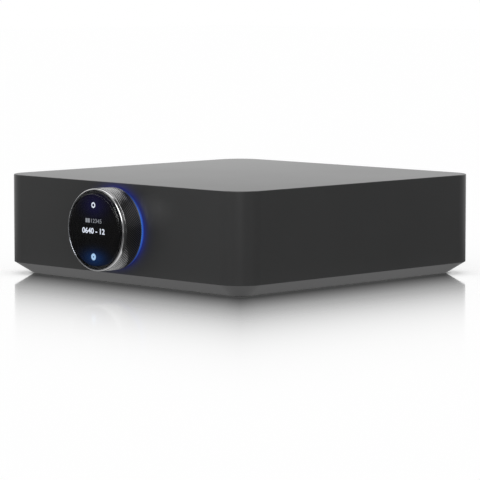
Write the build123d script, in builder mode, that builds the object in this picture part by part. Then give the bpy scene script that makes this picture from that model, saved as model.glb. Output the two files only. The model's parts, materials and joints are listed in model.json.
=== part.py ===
from build123d import *
import math
import os

os.makedirs("parts", exist_ok=True)

# A compact stereo amplifier with a large front dial. Millimetres, Z up, front towards -Y.
# The origin is on the table, under the centre of the square case.

# Case: a square body with rounded upright corners over a base that slopes in below
width = 217.0
wall_height = 56.6
slope_height = 7.4
slope_inset = 11.2
corner_r = 17.6
base_corner_r = 8.5
wall_t = 3.0
top_t = 3.0
floor_t = 2.5
edge_round = 0.5
lip_t = 1.6
lip_height = 2.0
lip_gap = 0.15

# Feet
foot_r = 12.0
foot_stand = 0.4
foot_sunk = 0.6
foot_inset = 36.0

# Screws: button heads with a six-sided socket
head_r = 2.7
head_t = 1.5
shank_r = 1.4
socket_r = 1.1
socket_depth = 0.9
tap_gap = 0.05
head_gap = 0.3
boss_r = 4.2
base_screw_inset = 17.5
base_screw_bite = 9.0
panel_screw_length = 6.0

# Dial: distances forward of the front wall, and radii about the dial's axis
dial_r = 25.7
dial_back = 2.2
dial_front = 17.3
rim_depth = 2.0
rim_wide = 1.1
rim_edge = 0.25
glass_gap = 0.4
glass_rise = 2.6
glass_lip = 1.3
glass_roll = 5.2
glass_roll_drop = 0.15
glass_back = 1.3
glass_skin = 1.6
glass_rim_wide = 1.7

# Thin bearing that carries the dial on its fixed hub
dial_wall = 4.7
bearing_section = 6.0
bearing_wide = 7.0
bearing_start = 5.2
race_t = 2.0
ball_r = 1.75
ball_count = 20
ball_gap = 0.05
cage_t = 1.2
cage_wide = 5.0
stop_wide = 1.2
stop_deep = 1.4
circlip_t = 0.8
circlip_deep = 0.7
circlip_stand = 1.8
circlip_mouth = 2.8
magnet_t = 3.0
magnet_long = 2.5
magnet_wall = 2.3

# Fixed hub, light guide and round display
hub_t = 4.0
hub_step = 1.4
hub_tail = 4.0
hub_gap = 0.1
nut_t = 3.5
nut_wide = 5.0
light_in = 0.7
light_wide = 5.0
light_t = 1.9
light_board_t = 0.8
led_count = 12
led_wide = 1.6
led_deep = 1.2
led_tall = 1.0
led_inset = 0.4
carrier_gap = 0.4
carrier_t = 1.0
carrier_side = 1.0
carrier_under = 0.4
display_gap = 0.1
display_side_gap = 0.3
spigot_t = 1.4
spigot_long = 3.8
flex_wide = 7.0
flex_t = 0.4
flex_bore_gap = 1.0
flex_up = 3.0
flex_bend = 4.0
flex_slot_gap = 0.3
flex_reach = 61.0

# Rear panel, let into the back wall. Spots on it are seen from behind: right, then height
panel_wide = 180.0
panel_high = 48.0
panel_t = 1.5
panel_recess = 0.2
panel_gap = 0.2
window_wide = 164.0
window_high = 42.0
panel_screw_in = 4.0
panel_screw_up = 5.0
panel_boss_long = 5.0
panel_boss_r = 3.5
jack_depth = 12.0
cut_gap = 0.25
pillar_r = 3.0
pillar_spots = [(-74.0, 20.5), (-74.0, 53.0), (13.0, 53.0)]

# Speaker terminals
post_spots = [(22.0, 26.0), (41.0, 26.0), (22.0, 47.0), (41.0, 47.0)]
post_base_r = 7.0
post_base_t = 2.5
post_neck_r = 4.5
stud_r = 3.0
stud_long_in = 9.0
plug_r = 2.05
plug_deep = 14.0
cap_r = 6.2
cap_end = 19.3
cap_end_t = 1.5
cap_mouth_r = 2.4
cap_lift = 0.2
cap_flutes = 14
cap_flute_r = 0.7
cap_collar = 3.0
stud_short = 0.8
insert_r = 4.4
insert_long = 9.0
insert_in = 0.4
screw_fit = 0.05
post_nut_t = 2.5
post_nut_r = 5.6

# Phono sockets
phono_spots = [(2.0, 26.0), (2.0, 45.0), (-15.0, 26.0)]
phono_r = 4.15
phono_bore_r = 3.5
phono_reach = 9.0
phono_flange_r = 6.0
phono_flange_t = 1.0
phono_pin_r = 1.65
phono_pin_deep = 8.0
phono_short = 0.6

# Other sockets and the reset button
mains_spot = (68.0, 34.0)
mains_wide = 24.0
mains_high = 15.0
mains_deep = 16.0
mains_mouth_wide = 16.4
mains_mouth_high = 8.8
mains_mouth_deep = 13.0
mains_flange = 2.0
mains_flange_t = 1.2
mains_pin_r = 1.2
mains_pin_pitch = 8.6
mains_pin_short = 2.5
ethernet_spot = (-56.0, 28.0)
ethernet_wide = 16.0
ethernet_high = 14.0
ethernet_mouth_wide = 11.8
ethernet_mouth_high = 7.0
ethernet_latch_wide = 6.0
ethernet_latch_high = 2.6
ethernet_deep = 10.5
hdmi_spot = (-34.0, 25.0)
hdmi_wide = 15.0
hdmi_high = 5.8
hdmi_mouth_wide = 14.0
hdmi_mouth_high = 4.6
hdmi_deep = 8.0
hdmi_tongue_wide = 11.6
hdmi_tongue_t = 1.0
hdmi_tongue_long = 6.5
socket_proud = 0.3
optical_spot = (-15.0, 45.5)
optical_wide = 10.6
optical_mouth = 8.8
optical_deep = 11.0
optical_proud = 1.0
flap_gap = 0.3
flap_t = 0.8
flap_pin_r = 0.6
flap_pin_fit = 0.05
flap_pin_in = 0.5
flap_top_gap = 0.4
button_spot = (-34.0, 46.0)
button_r = 2.2
button_gap = 0.25
button_proud = 0.8
button_flange_r = 3.4
button_flange_t = 0.8
button_back = 0.2
button_stem_r = 1.6
button_travel = 0.6
switch_wide = 6.5
switch_t = 5.0
switch_hole_deep = 2.0

# Circuit boards on moulded bosses in the base
board_t = 1.6
board_rise = 8.5
board_split = 6.0
board_side_gap = 10.5
board_front_gap = 45.5
board_rear_gap = 27.5
board_hole_in = 6.0
board_screw_long = 6.0
io_left = 78.0
io_right = 17.0
io_low = 17.0
io_high = 57.0

# What stands on the boards
core_wide = 40.0
core_deep = 34.0
core_high = 30.0
core_leg = 9.0
core_window_high = 14.0
winding_gap = 0.4
winding_bulge = 6.0
transformer_y = -8.0
capacitor_r = 11.0
capacitor_high = 36.0
capacitor_side = 16.0
capacitor_back = 26.0
capacitor_pitch = 28.0
capacitor_gap = 6.0
choke_r = 9.0
choke_wire_r = 4.5
choke_spot = (-48.0, 60.0)
chip_wide = 15.0
chip_t = 1.6
chip_pitch = 34.0
chip_y = -10.0
sink_wide = 72.0
sink_deep = 84.0
sink_base = 4.0
sink_fin_t = 2.0
sink_fins = 10
sink_high = 34.0
sink_side_gap = 3.0
coil_wide = 13.0
coil_high = 11.0
coil_spots = [(22.0, 52.0), (40.0, 52.0), (58.0, 52.0), (76.0, 52.0)]
radio_wide = 26.0
radio_deep = 16.0
radio_t = 1.0
radio_can_in = 2.0
radio_can_t = 2.4
radio_spot = (62.0, 67.5)
lead_r = 1.0
lead_bend = 3.0
lead_step = 4.0
lead_back = 24.0
lead_side = 16.0
mains_lead_drop = 18.0

# Levels and places that follow from the sizes above
half = width / 2
inner_width = width - 2 * wall_t
base_width = width - 2 * slope_inset
lip_width = inner_width - 2 * lip_gap
base_z = foot_stand
floor_z = base_z + floor_t
wall_z = base_z + slope_height
top_z = wall_z + wall_height
ceiling_z = top_z - top_t
lip_z = wall_z + lip_height
middle_z = wall_z + wall_height / 2
board_z = floor_z + board_rise
board_top = board_z + board_t
tap_r = shank_r + tap_gap

front = Plane(origin=(0, -half, middle_z), x_dir=(1, 0, 0), z_dir=(0, -1, 0))
rear = Plane(origin=(0, half, 0), x_dir=(-1, 0, 0), z_dir=(0, 1, 0))
rear_middle = Plane(origin=(0, half, middle_z), x_dir=(-1, 0, 0), z_dir=(0, 1, 0))
underside = Plane(origin=(0, 0, base_z), x_dir=(1, 0, 0), z_dir=(0, 0, -1))
table_up = Plane.XY
screw_off = half - base_screw_inset
foot_off = half - foot_inset
corner_signs = [(-1, -1), (1, -1), (-1, 1), (1, 1)]
screw_spots = [(a * screw_off, b * screw_off) for a, b in corner_signs]
foot_spots = [(a * foot_off, b * foot_off) for a, b in corner_signs]
panel_screw_x = panel_wide / 2 - panel_screw_in
panel_screw_z = panel_high / 2 - panel_screw_up
panel_screw_spots = [(a * panel_screw_x, b * panel_screw_z) for a, b in corner_signs]
panel_out = -panel_recess
panel_in = panel_out - panel_t
io_face = panel_in - jack_depth
io_back = io_face - board_t
board_side = half - wall_t - board_side_gap
board_front = half - wall_t - board_front_gap
board_rear = half - wall_t - board_rear_gap
capacitor_x = capacitor_side - board_side
capacitor_y = capacitor_back - board_front
capacitor_spots = [(capacitor_x, capacitor_y), (capacitor_x, capacitor_y + capacitor_pitch)]
transformer_x = capacitor_x + capacitor_r + capacitor_gap + core_wide / 2
transformer_spot = (transformer_x, transformer_y)
bearing_r = dial_r - dial_wall
bearing_bore_r = bearing_r - bearing_section
hub_bore_r = bearing_bore_r - hub_t
flex_x = hub_bore_r - flex_bore_gap - flex_wide / 2
hub_step_r = bearing_bore_r + hub_step
nut_r = bearing_bore_r + nut_wide
light_r = dial_r - light_in


def round_bar(plane, start, end, outer_r, inner_r=0.0, spots=((0, 0),), mode=Mode.ADD):
    """A bar or tube on each spot of a plane, between two distances along its normal."""
    with BuildSketch(plane.offset(start)) as profile:
        with Locations(*spots):
            Circle(outer_r)
            if inner_r > 0:
                Circle(inner_r, mode=Mode.SUBTRACT)
    extrude(profile.sketch, amount=end - start, mode=mode)


def block(plane, start, end, wide, tall, spots=((0, 0),), mode=Mode.ADD):
    """A square-edged block on each spot of a plane, between two distances along its normal."""
    with BuildSketch(plane.offset(start)) as profile:
        with Locations(*spots):
            Rectangle(wide, tall)
    extrude(profile.sketch, amount=end - start, mode=mode)


def screws(plane, seat, spots, length):
    """Button-head screws whose heads sit on a seat, with their shanks behind it."""
    round_bar(plane, seat, seat + head_t, head_r, spots=spots)
    round_bar(plane, seat - length, seat, shank_r, spots=spots)
    with BuildSketch(plane.offset(seat + head_t - socket_depth)) as sockets:
        with Locations(*spots):
            RegularPolygon(socket_r, 6)
    extrude(sockets.sketch, amount=socket_depth, mode=Mode.SUBTRACT)


def wire(points, radius, bend):
    """A round wire through a list of points, with an arc at each corner."""
    with BuildLine() as route:
        FilletPolyline(*points, radius=bend)
    with BuildSketch(Plane(origin=route.line @ 0, z_dir=route.line % 0)) as section:
        Circle(radius)
    sweep(section.sketch, path=route.line)


# Case

column_r = boss_r
head_pocket_r = head_r + head_gap
base_seat = head_t + head_gap
base_screw_length = lip_z + base_screw_bite - base_z - base_seat

with BuildPart() as top_shell:
    with BuildSketch(table_up.offset(wall_z)):
        RectangleRounded(width, width, corner_r)
    extrude(amount=wall_height)
    fillet(top_shell.faces().sort_by(Axis.Z)[-1].edges(), edge_round)
    with BuildSketch(table_up.offset(wall_z)):
        RectangleRounded(inner_width, inner_width, corner_r - wall_t)
    extrude(amount=wall_height - top_t, mode=Mode.SUBTRACT)
    # Columns under the top take the screws that come up through the base
    round_bar(table_up, lip_z, ceiling_z, column_r, spots=screw_spots)
    round_bar(table_up, lip_z, lip_z + base_screw_bite, tap_r, spots=screw_spots, mode=Mode.SUBTRACT)
    # The dial's hub passes through the front wall
    round_bar(front, -wall_t, 0, bearing_bore_r + hub_gap, mode=Mode.SUBTRACT)
    # Bosses for the rear panel's screws, then its rebate, its window and the holes
    round_bar(rear_middle, -wall_t - panel_boss_long, -wall_t, panel_boss_r, spots=panel_screw_spots)
    rebate_wide = panel_wide + 2 * panel_gap
    rebate_high = panel_high + 2 * panel_gap
    block(rear_middle, panel_in, 0, rebate_wide, rebate_high, mode=Mode.SUBTRACT)
    block(rear_middle, -wall_t, panel_in, window_wide, window_high, mode=Mode.SUBTRACT)
    round_bar(
        rear_middle, panel_out - panel_screw_length, panel_in, tap_r,
        spots=panel_screw_spots, mode=Mode.SUBTRACT,
    )
top_shell.part.label = "top_shell"
export_step(top_shell.part, "parts/top_shell.step")

board_mid_y = (board_rear - board_front) / 2
board_long = board_rear + board_front
board_wide = board_side - board_split / 2
board_mid_x = (board_side + board_split / 2) / 2
board_hole_y = board_long / 2 - board_hole_in
board_hole_x = board_wide / 2 - board_hole_in
board_spots = [
    (side * board_mid_x + a * board_hole_x, board_mid_y + b * board_hole_y)
    for side in (-1, 1)
    for a, b in corner_signs
]

with BuildPart() as base_pan:
    with BuildSketch(table_up.offset(base_z)):
        RectangleRounded(base_width, base_width, base_corner_r)
    with BuildSketch(table_up.offset(wall_z)):
        RectangleRounded(width, width, corner_r)
    loft(ruled=True)
    with BuildSketch(table_up.offset(wall_z)):
        RectangleRounded(lip_width, lip_width, corner_r - wall_t - lip_gap)
    extrude(amount=lip_height)
    # Hollow inside the sloping skirt, then inside the lip
    with BuildSketch(table_up.offset(floor_z)):
        RectangleRounded(base_width, base_width, base_corner_r)
    with BuildSketch(table_up.offset(wall_z)):
        RectangleRounded(lip_width - 2 * lip_t, lip_width - 2 * lip_t, corner_r - wall_t - lip_t)
    loft(ruled=True, mode=Mode.SUBTRACT)
    with BuildSketch(table_up.offset(wall_z)):
        RectangleRounded(lip_width - 2 * lip_t, lip_width - 2 * lip_t, corner_r - wall_t - lip_t)
    extrude(amount=lip_height, mode=Mode.SUBTRACT)
    # Bosses for the case screws and for the boards, with their holes
    round_bar(table_up, floor_z, lip_z, boss_r, spots=screw_spots)
    round_bar(table_up, floor_z, board_z, boss_r, spots=board_spots)
    round_bar(table_up, base_z, lip_z, tap_r, spots=screw_spots, mode=Mode.SUBTRACT)
    round_bar(
        table_up, base_z, base_z + base_seat, head_pocket_r,
        spots=screw_spots, mode=Mode.SUBTRACT,
    )
    round_bar(
        table_up, board_top - board_screw_long, board_z, tap_r,
        spots=board_spots, mode=Mode.SUBTRACT,
    )
    round_bar(
        table_up, base_z, base_z + foot_sunk, foot_r,
        spots=foot_spots, mode=Mode.SUBTRACT,
    )
base_pan.part.label = "base_pan"
export_step(base_pan.part, "parts/base_pan.step")

with BuildPart() as rubber_feet:
    round_bar(table_up, 0, base_z + foot_sunk, foot_r, spots=foot_spots)
rubber_feet.part.label = "rubber_feet"
export_step(rubber_feet.part, "parts/rubber_feet.step")

with BuildPart() as base_screws:
    screws(underside, -base_seat, screw_spots, base_screw_length)
base_screws.part.label = "base_screws"
export_step(base_screws.part, "parts/base_screws.step")

# Dial that turns round the display

knob_inner_r = dial_r - rim_wide
stop_start = bearing_start + bearing_wide
cavity_start = stop_start + stop_wide
rim_start = dial_front - rim_depth
magnet_r = dial_r - magnet_wall
pitch_r = (bearing_bore_r + bearing_r) / 2

with BuildPart() as volume_ring:
    round_bar(front, dial_back, rim_start, dial_r)
    round_bar(front, dial_back, bearing_start, magnet_r, mode=Mode.SUBTRACT)
    round_bar(front, bearing_start, stop_start, bearing_r, mode=Mode.SUBTRACT)
    round_bar(front, stop_start, cavity_start, bearing_r - stop_deep, mode=Mode.SUBTRACT)
    round_bar(front, cavity_start, rim_start, knob_inner_r, mode=Mode.SUBTRACT)
    chamfer(volume_ring.edges().filter_by(GeomType.CIRCLE).sort_by(SortBy.RADIUS)[-1], rim_edge)
volume_ring.part.label = "volume_ring"
export_step(volume_ring.part, "parts/volume_ring.step")

with BuildPart() as knob_rim:
    round_bar(front, rim_start, dial_front, dial_r, knob_inner_r)
    fillet(knob_rim.faces().sort_by(Axis.Y)[0].edges(), rim_edge)
knob_rim.part.label = "knob_rim"
export_step(knob_rim.part, "parts/knob_rim.step")

with BuildPart() as encoder_magnet:
    round_bar(front, bearing_start - magnet_long, bearing_start, magnet_r, magnet_r - magnet_t)
encoder_magnet.part.label = "encoder_magnet"
export_step(encoder_magnet.part, "parts/encoder_magnet.step")

ball_mid = bearing_start + bearing_wide / 2
ball_plane = front.offset(ball_mid)
ball_ring = Plane(origin=ball_plane.origin, x_dir=(1, 0, 0), z_dir=(0, -1, 0))
ball_angles = [360.0 / ball_count * n for n in range(ball_count)]

with BuildPart() as bearing_outer_race:
    round_bar(front, bearing_start, stop_start, bearing_r, bearing_r - race_t)
    with Locations(ball_ring):
        Torus(pitch_r, ball_r + ball_gap, mode=Mode.SUBTRACT)
bearing_outer_race.part.label = "bearing_outer_race"
export_step(bearing_outer_race.part, "parts/bearing_outer_race.step")

with BuildPart() as bearing_inner_race:
    round_bar(front, bearing_start, stop_start, bearing_bore_r + race_t, bearing_bore_r)
    with Locations(ball_ring):
        Torus(pitch_r, ball_r + ball_gap, mode=Mode.SUBTRACT)
bearing_inner_race.part.label = "bearing_inner_race"
export_step(bearing_inner_race.part, "parts/bearing_inner_race.step")

with BuildPart() as bearing_balls:
    with Locations(ball_ring):
        with PolarLocations(pitch_r, ball_count):
            Sphere(ball_r)
bearing_balls.part.label = "bearing_balls"
export_step(bearing_balls.part, "parts/bearing_balls.step")

with BuildPart() as bearing_cage:
    cage_start = ball_mid - cage_wide / 2
    round_bar(front, cage_start, cage_start + cage_wide, pitch_r + cage_t / 2, pitch_r - cage_t / 2)
    # One round pocket for each ball
    for angle in ball_angles:
        outward = Vector(math.cos(math.radians(angle)), 0, math.sin(math.radians(angle)))
        pocket = Plane(origin=ball_plane.origin, z_dir=outward)
        round_bar(pocket, pitch_r - cage_t, pitch_r + cage_t, ball_r + ball_gap, mode=Mode.SUBTRACT)
bearing_cage.part.label = "bearing_cage"
export_step(bearing_cage.part, "parts/bearing_cage.step")

# Fixed hub, light guide and display

carrier_start = cavity_start + carrier_gap
glass_start = dial_front - glass_back
glass_r = knob_inner_r - glass_gap
carrier_r = glass_r - carrier_under
hub_end = carrier_start
light_bore_r = light_r - light_wide
spigot_start = carrier_start - spigot_long
recess_end = dial_front + glass_rise - glass_skin
recess_r = glass_r - glass_rim_wide

with BuildPart() as front_hub:
    round_bar(front, -wall_t - nut_t - hub_tail, hub_end, bearing_bore_r)
    round_bar(front, 0, bearing_start, hub_step_r)
    round_bar(front, stop_start, stop_start + circlip_t, hub_step_r, bearing_bore_r - circlip_deep,
              mode=Mode.SUBTRACT)
    round_bar(front, -wall_t - nut_t - hub_tail, hub_end, hub_bore_r, mode=Mode.SUBTRACT)
front_hub.part.label = "front_hub"
export_step(front_hub.part, "parts/front_hub.step")

with BuildPart() as bearing_circlip:
    round_bar(front, stop_start, stop_start + circlip_t, bearing_bore_r + circlip_stand,
              bearing_bore_r - circlip_deep)
    block(front, stop_start, stop_start + circlip_t, circlip_mouth, 2 * circlip_mouth,
          spots=((0, -bearing_bore_r - circlip_stand / 2),), mode=Mode.SUBTRACT)
bearing_circlip.part.label = "bearing_circlip"
export_step(bearing_circlip.part, "parts/bearing_circlip.step")

with BuildPart() as hub_nut:
    with BuildSketch(front.offset(-wall_t - nut_t)):
        RegularPolygon(nut_r, 6)
        Circle(bearing_bore_r + screw_fit, mode=Mode.SUBTRACT)
    extrude(amount=nut_t)
hub_nut.part.label = "hub_nut"
export_step(hub_nut.part, "parts/hub_nut.step")

with BuildPart() as light_ring:
    round_bar(front, 0, light_t, light_r, light_bore_r)
light_ring.part.label = "light_ring"
export_step(light_ring.part, "parts/light_ring.step")

led_mid_r = light_bore_r - led_inset - led_deep / 2

with BuildPart() as light_board:
    round_bar(front, 0, light_board_t, light_bore_r - led_inset, hub_step_r + hub_gap)
light_board.part.label = "light_board"
export_step(light_board.part, "parts/light_board.step")

with BuildPart() as leds:
    with BuildSketch(front.offset(light_board_t)):
        with PolarLocations(led_mid_r, led_count):
            Rectangle(led_deep, led_wide)
    extrude(amount=led_tall)
leds.part.label = "leds"
export_step(leds.part, "parts/leds.step")

with BuildPart() as display_carrier:
    round_bar(front, carrier_start, glass_start, carrier_r)
    round_bar(front, carrier_start + carrier_t, glass_start, carrier_r - carrier_side, mode=Mode.SUBTRACT)
    round_bar(front, spigot_start, carrier_start, hub_bore_r - hub_gap, hub_bore_r - hub_gap - spigot_t)
    block(
        front, spigot_start, carrier_start + carrier_t,
        flex_wide + 2 * flex_slot_gap, flex_t + 2 * flex_slot_gap,
        spots=((flex_x, flex_up),), mode=Mode.SUBTRACT,
    )
display_carrier.part.label = "display_carrier"
export_step(display_carrier.part, "parts/display_carrier.step")

with BuildPart() as display_module:
    display_start = carrier_start + carrier_t
    round_bar(front, display_start, recess_end - display_gap, recess_r - display_side_gap)
display_module.part.label = "display_module"
export_step(display_module.part, "parts/display_module.step")

with BuildPart() as display_glass:
    # Half section of the glass: distance from the axis, then distance forward
    section = Plane(origin=front.origin, x_dir=(1, 0, 0), z_dir=(0, 0, 1))
    edge_z = dial_front - glass_back + glass_lip
    crown_edge = (glass_r - glass_roll, -(dial_front + glass_rise - glass_roll_drop))
    with BuildSketch(section):
        with BuildLine():
            Polyline((0, -glass_start), (glass_r, -glass_start), (glass_r, -edge_z))
            Spline((glass_r, -edge_z), crown_edge, tangents=((0, -1), (-1, -0.03)))
            Spline(
                crown_edge, (0, -(dial_front + glass_rise)),
                tangents=((-1, -0.03), (-1, 0)),
            )
            Line((0, -(dial_front + glass_rise)), (0, -glass_start))
        make_face()
    revolve(axis=Axis(front.origin, (0, 1, 0)))
    # Recess behind the glass for the display
    round_bar(front, glass_start, recess_end, recess_r, mode=Mode.SUBTRACT)
display_glass.part.label = "display_glass"
export_step(display_glass.part, "parts/display_glass.step")

with BuildPart() as display_flex:
    # Flat tail from the display, back through the hub and down to the amplifier board
    flex_plane = Plane(origin=(flex_x, 0, 0), x_dir=(0, 1, 0), z_dir=(1, 0, 0))
    flex_z = middle_z + flex_up
    flex_tip = -half - carrier_start - carrier_t
    with BuildSketch(flex_plane.offset(-flex_wide / 2)):
        with BuildLine():
            FilletPolyline(
                (flex_tip, flex_z), (-half + flex_reach, flex_z), (-half + flex_reach, board_top),
                radius=flex_bend,
            )
        trace(line_width=flex_t)
    extrude(amount=flex_wide)
display_flex.part.label = "display_flex"
export_step(display_flex.part, "parts/display_flex.step")

# Rear panel and what it holds

optical_half = optical_wide / 2

with BuildPart() as rear_panel:
    block(rear_middle, panel_in, panel_out, panel_wide, panel_high)
    round_bar(rear, io_face, panel_in, pillar_r, spots=pillar_spots)
    round_bar(rear, io_face, io_face + board_screw_long, tap_r, spots=pillar_spots, mode=Mode.SUBTRACT)
    round_bar(rear_middle, panel_in, panel_out, tap_r, spots=panel_screw_spots, mode=Mode.SUBTRACT)
    round_bar(rear, panel_in, panel_out, post_neck_r + cut_gap, spots=post_spots, mode=Mode.SUBTRACT)
    round_bar(rear, panel_in, panel_out, phono_r + cut_gap, spots=phono_spots, mode=Mode.SUBTRACT)
    round_bar(rear, panel_in, panel_out, button_r + button_gap, spots=[button_spot], mode=Mode.SUBTRACT)
    block(rear, panel_in, panel_out, mains_wide + 2 * cut_gap, mains_high + 2 * cut_gap,
          spots=[mains_spot], mode=Mode.SUBTRACT)
    block(rear, panel_in, panel_out, ethernet_wide + 2 * cut_gap, ethernet_high + 2 * cut_gap,
          spots=[ethernet_spot], mode=Mode.SUBTRACT)
    block(rear, panel_in, panel_out, hdmi_wide + 2 * cut_gap, hdmi_high + 2 * cut_gap,
          spots=[hdmi_spot], mode=Mode.SUBTRACT)
    block(rear, panel_in, panel_out, optical_wide + 2 * cut_gap, optical_wide + 2 * cut_gap,
          spots=[optical_spot], mode=Mode.SUBTRACT)
rear_panel.part.label = "rear_panel"
export_step(rear_panel.part, "parts/rear_panel.step")

with BuildPart() as rear_screws:
    screws(rear_middle, panel_out, panel_screw_spots, panel_screw_length)
rear_screws.part.label = "rear_screws"
export_step(rear_screws.part, "parts/rear_screws.step")

# Speaker terminals: a base through the panel, a hollow stud, and a cap that unscrews

base_face = panel_out + post_base_t
cap_start = base_face + cap_lift
stud_end = cap_end - cap_end_t - stud_short

with BuildPart() as post_bases:
    round_bar(rear, panel_out, base_face, post_base_r, spots=post_spots)
    round_bar(rear, panel_in, panel_out, post_neck_r, spots=post_spots)
    round_bar(rear, panel_in, base_face, stud_r, spots=post_spots, mode=Mode.SUBTRACT)
post_bases.part.label = "post_bases"
export_step(post_bases.part, "parts/post_bases.step")

with BuildPart() as post_studs:
    round_bar(rear, panel_in - stud_long_in, stud_end, stud_r, spots=post_spots)
    round_bar(rear, stud_end - plug_deep, stud_end, plug_r, spots=post_spots, mode=Mode.SUBTRACT)
post_studs.part.label = "post_studs"
export_step(post_studs.part, "parts/post_studs.step")

with BuildPart() as post_nuts:
    with BuildSketch(rear.offset(panel_in - post_nut_t)):
        with Locations(*post_spots):
            RegularPolygon(post_nut_r, 6)
            Circle(stud_r, mode=Mode.SUBTRACT)
    extrude(amount=post_nut_t)
post_nuts.part.label = "post_nuts"
export_step(post_nuts.part, "parts/post_nuts.step")

for number, spot in enumerate(post_spots, start=1):
    insert_start = cap_start + insert_in
    with BuildPart() as post_insert:
        insert_end = insert_start + insert_long
        round_bar(rear, insert_start, insert_end, insert_r, stud_r + screw_fit, spots=[spot])
    post_insert.part.label = f"post_insert_{number}"
    export_step(post_insert.part, f"parts/post_insert_{number}.step")

    with BuildPart() as post_cap:
        round_bar(rear, cap_start, cap_end, cap_r, spots=[spot])
        chamfer(post_cap.faces().sort_by(Axis.Y)[-1].edges(), 2 * cap_flute_r)
        bore_end = cap_end - cap_end_t
        round_bar(rear, cap_start, bore_end, insert_r + screw_fit, spots=[spot], mode=Mode.SUBTRACT)
        round_bar(rear, bore_end, cap_end, cap_mouth_r, spots=[spot], mode=Mode.SUBTRACT)
        with BuildSketch(rear.offset(cap_start + cap_collar)):
            with Locations(spot):
                with PolarLocations(cap_r + cap_flute_r / 3, cap_flutes):
                    Circle(cap_flute_r)
        extrude(amount=cap_end - cap_start - cap_collar, mode=Mode.SUBTRACT)
    post_cap.part.label = f"post_cap_{number}"
    export_step(post_cap.part, f"parts/post_cap_{number}.step")

# Phono sockets

with BuildPart() as phono_shells:
    round_bar(rear, io_face, panel_out + phono_reach, phono_r, phono_bore_r, spots=phono_spots)
    round_bar(rear, panel_out, panel_out + phono_flange_t, phono_flange_r, phono_r, spots=phono_spots)
phono_shells.part.label = "phono_shells"
export_step(phono_shells.part, "parts/phono_shells.step")

with BuildPart() as phono_insulators:
    phono_face = panel_out + phono_reach - phono_short
    round_bar(rear, io_face, phono_face, phono_bore_r, spots=phono_spots)
    phono_pin_end = phono_face - phono_pin_deep
    round_bar(rear, phono_pin_end, phono_face, phono_pin_r, spots=phono_spots, mode=Mode.SUBTRACT)
phono_insulators.part.label = "phono_insulators"
export_step(phono_insulators.part, "parts/phono_insulators.step")

# Mains inlet for a two-pole lead

mains_face = panel_out + mains_flange_t
mains_back = panel_in - mains_deep

with BuildPart() as mains_inlet:
    block(rear, mains_back, panel_out, mains_wide, mains_high, spots=[mains_spot])
    block(rear, panel_out, mains_face, mains_wide + 2 * mains_flange, mains_high + 2 * mains_flange,
          spots=[mains_spot])
    fillet(mains_inlet.faces().sort_by(Axis.Y)[-1].edges(), mains_flange_t / 2)
    with BuildSketch(rear.offset(mains_face - mains_mouth_deep)):
        with Locations(mains_spot):
            SlotOverall(mains_mouth_wide, mains_mouth_high)
    extrude(amount=mains_mouth_deep, mode=Mode.SUBTRACT)
    pin_spots = [(mains_spot[0] + a * mains_pin_pitch / 2, mains_spot[1]) for a in (-1, 1)]
    mains_mouth_end = mains_face - mains_mouth_deep
    round_bar(rear, mains_back, mains_mouth_end, mains_pin_r, spots=pin_spots, mode=Mode.SUBTRACT)
mains_inlet.part.label = "mains_inlet"
export_step(mains_inlet.part, "parts/mains_inlet.step")

with BuildPart() as mains_pins:
    round_bar(rear, mains_back, mains_face - mains_pin_short, mains_pin_r, spots=pin_spots)
mains_pins.part.label = "mains_pins"
export_step(mains_pins.part, "parts/mains_pins.step")

# Network, video and light-fibre sockets

socket_face = panel_out + socket_proud

with BuildPart() as ethernet_jack:
    block(rear, io_face, socket_face, ethernet_wide, ethernet_high, spots=[ethernet_spot])
    block(rear, socket_face - ethernet_deep, socket_face, ethernet_mouth_wide, ethernet_mouth_high,
          spots=[ethernet_spot], mode=Mode.SUBTRACT)
    latch_z = ethernet_spot[1] + (ethernet_mouth_high + ethernet_latch_high) / 2
    block(rear, socket_face - ethernet_deep, socket_face, ethernet_latch_wide, ethernet_latch_high,
          spots=[(ethernet_spot[0], latch_z)], mode=Mode.SUBTRACT)
ethernet_jack.part.label = "ethernet_jack"
export_step(ethernet_jack.part, "parts/ethernet_jack.step")

with BuildPart() as hdmi_jack:
    block(rear, io_face, socket_face, hdmi_wide, hdmi_high, spots=[hdmi_spot])
    with BuildSketch(rear.offset(socket_face - hdmi_deep)):
        with Locations(hdmi_spot):
            hdmi_mouth = Rectangle(hdmi_mouth_wide, hdmi_mouth_high)
            chamfer(hdmi_mouth.vertices().group_by(Axis.Z)[0], hdmi_mouth_high / 3)
    extrude(amount=hdmi_deep, mode=Mode.SUBTRACT)
hdmi_jack.part.label = "hdmi_jack"
export_step(hdmi_jack.part, "parts/hdmi_jack.step")

with BuildPart() as hdmi_tongue:
    tongue_start = socket_face - hdmi_deep
    block(rear, tongue_start, tongue_start + hdmi_tongue_long, hdmi_tongue_wide, hdmi_tongue_t,
          spots=[hdmi_spot])
hdmi_tongue.part.label = "hdmi_tongue"
export_step(hdmi_tongue.part, "parts/hdmi_tongue.step")

optical_face = panel_out + optical_proud
flap_mid = optical_face - flap_gap - flap_pin_r
flap_top = optical_spot[1] + optical_mouth / 2 - flap_top_gap
flap_pin_z = flap_top - flap_pin_r
flap_wide = optical_mouth - 2 * flap_gap
flap_low = optical_spot[1] - optical_mouth / 2 + flap_gap
side = Plane(origin=(0, half + flap_mid, flap_pin_z), x_dir=(0, 1, 0), z_dir=(1, 0, 0))
optical_x = -optical_spot[0]
pin_long = optical_mouth + 2 * flap_pin_in

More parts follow.
